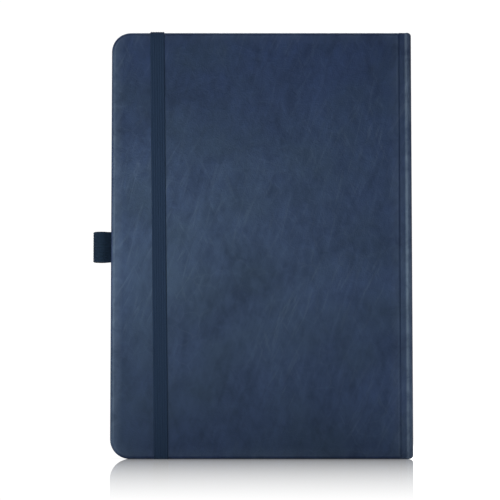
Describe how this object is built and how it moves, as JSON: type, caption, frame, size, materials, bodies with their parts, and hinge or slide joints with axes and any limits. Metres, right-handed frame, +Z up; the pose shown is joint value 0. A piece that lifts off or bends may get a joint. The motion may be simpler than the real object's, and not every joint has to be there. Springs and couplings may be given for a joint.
{
  "type": "hardcover pilot logbook",
  "caption": "A5 hardcover logbook in navy leatherette with sewn pages, rounded fore-edge corners, an elastic closure band and an elastic pen loop at the fore edge",
  "frame": {"origin": "middle of the bounding box's bottom, on the surface that the book stands on", "axes": "+Z up along the book's height, -X the fore edge with the pen loop, +X the spine, -Y the back cover with the closure band, +Y the front cover"},
  "size_m": [0.157, 0.0186, 0.2111],
  "materials": {
    "leather": "pull-up leatherette, satin",
    "board": "raw greyboard",
    "paper": "uncoated ivory paper",
    "endpaper": "uncoated endpaper",
    "mull": "open gauze",
    "thread": "linen thread",
    "headband": "woven cotton",
    "elastic": "ribbed woven elastic"
  },
  "bodies": {
    "spine": {"spine_leather": "leather", "spine_board": "board", "bound_edge": "paper", "sewing_thread": "thread", "spine_mull": "mull", "spine_lining_paper": "paper", "head_band": "headband", "tail_band": "headband", "front_hinge_leather": "leather", "back_hinge_leather": "leather"},
    "front_half": {"section_01": "paper", "section_02": "paper", "section_03": "paper", "section_04": "paper", "section_05": "paper", "section_06": "paper"},
    "rear_half": {"section_07": "paper", "section_08": "paper", "section_09": "paper", "section_10": "paper", "section_11": "paper", "section_12": "paper"},
    "front_cover": {"front_cover_leather": "leather", "front_board": "board", "front_pastedown": "endpaper"},
    "back_cover": {"back_cover_leather": "leather", "back_board": "board", "back_pastedown": "endpaper", "band_anchor_head": "elastic", "band_anchor_tail": "elastic", "pen_loop_tab": "elastic"},
    "front_flyleaf": {"front_flyleaf": "endpaper"},
    "back_flyleaf": {"back_flyleaf": "endpaper"},
    "leaf_1": {"leaf_1": "paper"},
    "leaf_2": {"leaf_2": "paper"},
    "leaf_3": {"leaf_3": "paper"},
    "leaf_4": {"leaf_4": "paper"},
    "closure_band": {"closure_band": "elastic"},
    "pen_loop": {"pen_loop": "elastic"}
  },
  "joints": [
    {"name": "book_open", "type": "hinge", "parent": "spine", "child": "front_half", "pos_m": [0.07685, 0.00788, 0], "axis": [0, 0, 1], "range_deg": [-90, 0], "deforming": ["front_hinge_leather"]},
    {"name": "rear_half_open", "type": "hinge", "parent": "spine", "child": "rear_half", "pos_m": [0.07685, -0.00732, 0], "axis": [0, 0, 1], "range_deg": [0, 90], "deforming": ["back_hinge_leather"]},
    {"name": "front_cover_open", "type": "hinge", "parent": "front_half", "child": "front_cover", "pos_m": [0.07485, 0.00948, 0], "axis": [0, 0, 1], "range_deg": [-175, 0]},
    {"name": "back_cover_open", "type": "hinge", "parent": "rear_half", "child": "back_cover", "pos_m": [0.07485, -0.00893, 0], "axis": [0, 0, 1], "range_deg": [0, 175]},
    {"name": "front_flyleaf_turn", "type": "hinge", "parent": "front_half", "child": "front_flyleaf", "pos_m": [0.06895, 0.00502, 0], "axis": [0, 0, 1], "range_deg": [-36, 0]},
    {"name": "back_flyleaf_turn", "type": "hinge", "parent": "rear_half", "child": "back_flyleaf", "pos_m": [0.06895, -0.00447, 0], "axis": [0, 0, 1], "range_deg": [0, 36]},
    {"name": "leaf_1_turn", "type": "hinge", "parent": "spine", "child": "leaf_1", "pos_m": [0.06945, 0.00072, 0], "axis": [0, 0, 1], "range_deg": [-63, 0]},
    {"name": "leaf_2_turn", "type": "hinge", "parent": "spine", "child": "leaf_2", "pos_m": [0.06945, 0.00042, 0], "axis": [0, 0, 1], "range_deg": [-22.5, 0]},
    {"name": "leaf_3_turn", "type": "hinge", "parent": "spine", "child": "leaf_3", "pos_m": [0.06945, 0.00013, 0], "axis": [0, 0, 1], "range_deg": [0, 22.5]},
    {"name": "leaf_4_turn", "type": "hinge", "parent": "spine", "child": "leaf_4", "pos_m": [0.06945, -0.00017, 0], "axis": [0, 0, 1], "range_deg": [0, 63]},
    {"name": "band_release", "type": "slide", "parent": "back_cover", "child": "closure_band", "axis": [-1, 0, 0], "range_m": [0, 0.045], "stiffness_N_per_m": 40},
    {"name": "pen_loop_flex", "type": "hinge", "parent": "back_cover", "child": "pen_loop", "pos_m": [-0.06955, -0.00535, 0], "axis": [0, 0, 1], "range_deg": [-20, 15], "stiffness_Nm_per_rad": 0.01}
  ],
  "couplings": [
    {"joint": "rear_half_open", "follows": "book_open", "ratio": -1},
    {"joint": "front_flyleaf_turn", "follows": "front_cover_open", "ratio": 0.2},
    {"joint": "back_flyleaf_turn", "follows": "back_cover_open", "ratio": 0.2},
    {"joint": "leaf_1_turn", "follows": "book_open", "ratio": 0.7},
    {"joint": "leaf_2_turn", "follows": "book_open", "ratio": 0.25},
    {"joint": "leaf_3_turn", "follows": "book_open", "ratio": -0.25},
    {"joint": "leaf_4_turn", "follows": "book_open", "ratio": -0.7}
  ]
}
